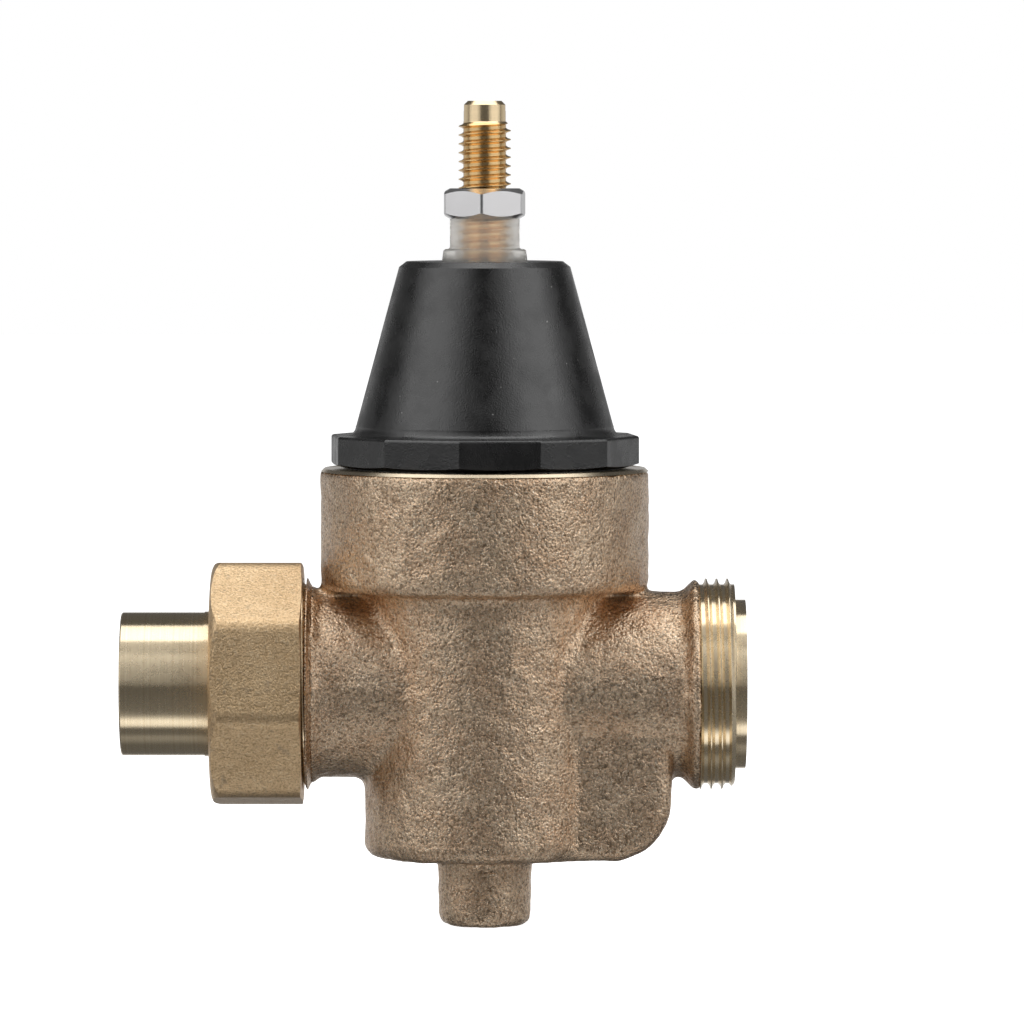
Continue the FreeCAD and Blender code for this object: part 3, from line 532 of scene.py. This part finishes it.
# ---------------------------------------------------------------- the object
def build_object():
    bronze = cast_bronze()
    end_brass = turned_brass("machined_bronze", "X", (1.0, 0.86, 0.63))
    rim_brass = turned_brass("machined_rim", "Z", (0.80, 0.69, 0.52))
    tail_brass = turned_brass("tailpiece_brass", "X", (0.94, 0.80, 0.57), line=0.16)
    screw_brass = turned_brass(
        "screw_brass", "Z", (0.97, 0.68, 0.34), depth=0.004, polish=0.24, smear=0.7, stained=0.0,
        # the screw's end above this height is painted paler, as painted light
        painted_pale_end=(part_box("adjusting_screw")[1].z - SCREW_PAINTED_PALE_END, (1.0, 0.79, 0.50)),
    )
    nylon = natural_nylon()
    zinc = zinc_plate()
    stainless = plain_finish(
        "stainless", (0.72, 0.72, 0.71), (0.62, 0.62, 0.62), 1.0, 0.28, 0.3 * MM, 0.01 * MM,
    )
    rubber = plain_finish(
        "black_rubber", (0.035, 0.035, 0.035), (0.02, 0.02, 0.02), 0.0, 0.62, 0.4 * MM, 0.03 * MM,
    )
    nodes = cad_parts
    dress(nodes["bonnet"], black_polymer())
    dress(nodes["union_nut"], forged_brass())
    dress(nodes["union_tailpiece"], tail_brass)
    dress(nodes["adjusting_screw"], screw_brass)
    for node in ("seal_bushing", "slip_ring"):
        dress(nodes[node], nylon)
    for node in ("lock_nut", "spring_button", "diaphragm_plate"):
        dress(nodes[node], zinc)
    for node in ("threaded_insert", "disc_holder"):
        dress(nodes[node], rim_brass)
    for node in ("diaphragm_washer", "valve_stem", "stem_nut", "disc_screw", "strainer_screen"):
        dress(nodes[node], stainless)
    for node in ("valve_disc", "module_o_ring", "seat_o_ring", "stem_o_ring"):
        dress(nodes[node], rubber)
    dress(nodes["seat_module"], plain_finish(
        "moulded_polymer", (0.74, 0.73, 0.69), (0.68, 0.67, 0.62), 0.0, 0.45, 0.5 * MM, 0.02 * MM,
    ))
    dress(nodes["union_gasket"], plain_finish(
        "fibre_gasket", (0.30, 0.09, 0.06), (0.20, 0.06, 0.045), 0.0, 0.75, 0.35 * MM, 0.05 * MM,
    ))

    outlet_end = part_of_casting("outlet_thread_end", ((OUTLET_THREAD_START - END_LAP, 0, 0), (-1, 0, 0)))
    inlet_end = part_of_casting("inlet_thread_end", ((INLET_THREAD_START + END_LAP, 0, 0), (1, 0, 0)))
    rim = part_of_casting("barrel_rim", ((0, 0, CASTING_HIGH.z - RIM_HEIGHT), (0, 0, -1)))
    skin = cast_skin()
    thread = pipe_thread()
    for piece, material in (
        (skin, bronze), (outlet_end, end_brass), (inlet_end, end_brass), (rim, rim_brass),
        (thread, end_brass),
    ):
        if piece is not skin:
            smooth(piece)
        dress(piece, material)
        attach(piece, "valve_body")
        if piece is not thread:
            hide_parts("body_casting")

    bronze_index = len(inlet_end.data.materials)
    inlet_end.data.materials.append(bronze)
    for face in inlet_end.data.polygons:
        if face.center.x > INLET_RING:
            face.material_index = bronze_index

    for piece, outward in diaphragm_sectors():
        smooth(piece)
        dress(piece, rubber)
        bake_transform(piece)
        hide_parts("diaphragm")

    lower, upper, meeting = spring_coils()
    wire = plain_finish(
        "spring_wire", (0.20, 0.20, 0.21), (0.12, 0.12, 0.13), 1.0, 0.34, 0.25 * MM, 0.01 * MM,
    )
    for coil, body, joint, fixed in (
        (lower, "diaphragm_stack", "adjusting_screw_advance", SPRING_LOW.z),
        (upper, "spring_seat", "valve_travel", SPRING_HIGH.z),
    ):
        smooth(coil, 60)
        dress(coil, wire)
        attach(coil, body)
        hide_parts("range_spring")
        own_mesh(coil)


# ---------------------------------------------------------------- stage
CAMERA_AWAY = 1.40
CAMERA_HEIGHT = 0.100
PICTURE_WIDTH = 0.1843  # across the picture, at the valve's axis
AIM = Vector((VALVE_X + 4.9 * MM, 0, 31 * MM))
LIT_POINT = Vector((VALVE_X, 0, 20 * MM))  # what the soft boxes face
SIDE_ELEVATION = 29
FLOOR_HALF = 4.0


def soft_box(name, azimuth, elevation, away, width, height, radiance):
    """A rectangular light that faces the valve. Azimuth 0 is the camera's side and 90 is +X, in degrees."""
    turn, lift = math.radians(azimuth), math.radians(elevation)
    outward = Vector((math.sin(turn) * math.cos(lift), -math.cos(turn) * math.cos(lift), math.sin(lift)))
    light = bpy.data.lights.new(name, "AREA")
    light.shape = "RECTANGLE"
    light.size = width
    light.size_y = height
    light.energy = radiance * math.pi * width * height
    box = bpy.data.objects.new(name, light)
    box.location = LIT_POINT + outward * away
    box.rotation_mode = "QUATERNION"
    box.rotation_quaternion = outward.to_track_quat("Z", "Y")
    box.visible_camera = False
    bpy.context.scene.collection.objects.link(box)


def studio_world():
    """White behind the object. What the metal mirrors is a studio in bands, from the floor up and over."""
    world = bpy.data.worlds.new("studio")
    bpy.context.scene.world = world
    world.use_nodes = True
    tree = world.node_tree
    tree.nodes.clear()

    def node(kind, *inputs, **settings):
        return add_node(tree, kind, *inputs, **settings)

    direction = node("SeparateXYZ", node("TexCoord").outputs["Generated"])
    toward_camera = node("Math", direction.outputs["Y"], -1.0, operation="MULTIPLY").outputs[0]
    turn = node("Math", direction.outputs["Z"], toward_camera, operation="ARCTAN2").outputs[0]
    place = node("MapRange", turn, -math.pi, math.pi, 0.0, 1.0).outputs[0]
    bands = node("ValToRGB", place)
    stops = (  # degrees up from level toward the camera, and the brightness there
        (-180, 0.45), (-173, 0.7), (-162, 0.7), (-154, 0.12), (-112, 0.12), (-100, 0.26), (-92, 0.30),
        (-86, 0.12), (-72, 0.12), (-68, 1.25), (-58, 1.25), (-52, 0.40), (-47, 0.15), (-30, 0.14),
        (0, 0.10), (12, 0.08), (25, 0.06), (50, 0.06), (58, 0.12), (66, 0.40), (72, 0.5), (112, 0.10),
        (167, 0.10), (172, 0.45), (180, 0.45),
    )
    ramp = bands.color_ramp
    ramp.elements[0].position, ramp.elements[1].position = 0.0, 1.0
    for degrees, level in stops:
        if degrees in (-180, 180):
            stop = ramp.elements[0 if degrees < 0 else len(ramp.elements) - 1]
        else:
            stop = ramp.elements.new((degrees + 180) / 360)
        stop.color = (level, level, level, 1)
    studio = node("Background", bands.outputs["Color"], 1.0)
    backdrop = node("Background", (1, 1, 1, 1), 1.0)
    seen = node("LightPath").outputs["Is Camera Ray"]
    mixed = node("MixShader", seen, studio.outputs[0], backdrop.outputs[0])
    node("OutputWorld", mixed.outputs[0])


def pale_floor():
    """A white floor under the valve. It is clear from below, so that the underside can be looked at."""
    half, level = FLOOR_HALF, CAD_LOW.z
    corners = [(-half, -half, level), (half, -half, level), (half, half, level), (-half, half, level)]
    floor = new_piece("floor", corners, [(0, 1, 2, 3)])
    material = bpy.data.materials.new("pale_floor")
    material.use_nodes = True
    tree = material.node_tree
    shader = tree.nodes["Principled BSDF"]
    shader.inputs["Base Color"].default_value = (0.9, 0.9, 0.9, 1)
    shader.inputs["Roughness"].default_value = 0.9
    shader.inputs["Emission Color"].default_value = (1, 1, 1, 1)
    shader.inputs["Emission Strength"].default_value = 1.0
    clear = add_node(tree, "BsdfTransparent")
    below = add_node(tree, "NewGeometry").outputs["Backfacing"]
    mixed = add_node(tree, "MixShader", below, shader.outputs[0], clear.outputs[0])
    tree.links.new(mixed.outputs[0], tree.nodes["Material Output"].inputs["Surface"])
    floor.data.materials.append(material)
    floor.visible_glossy = False
    floor.visible_diffuse = False


def build_stage():
    lens = bpy.data.cameras.new("camera")
    lens.sensor_width = 36
    lens.clip_start = 0.05
    camera = bpy.data.objects.new("camera", lens)
    camera.location = (AIM.x, -CAMERA_AWAY, CAMERA_HEIGHT)
    toward = AIM - camera.location
    camera.rotation_euler = toward.to_track_quat("-Z", "Y").to_euler()
    lens.lens = lens.sensor_width * toward.length / PICTURE_WIDTH
    bpy.context.scene.collection.objects.link(camera)
    bpy.context.scene.camera = camera
    bpy.context.scene.view_settings.view_transform = "Standard"
    studio_world()
    soft_box("overhead_box", 180, 85, 0.95, 1.5, 0.60, 1.7)
    for name, azimuth, strength in (("left", -58, 1.0), ("right", 57, 1.1)):
        soft_box(name + "_box", azimuth, SIDE_ELEVATION, 1.0, 1.40, 1.10, 0.58 * strength)
        soft_box(name + "_core", azimuth, SIDE_ELEVATION, 1.01, 0.80, 0.85, 0.64 * strength)
    pale_floor()


build_stage()
build_object()
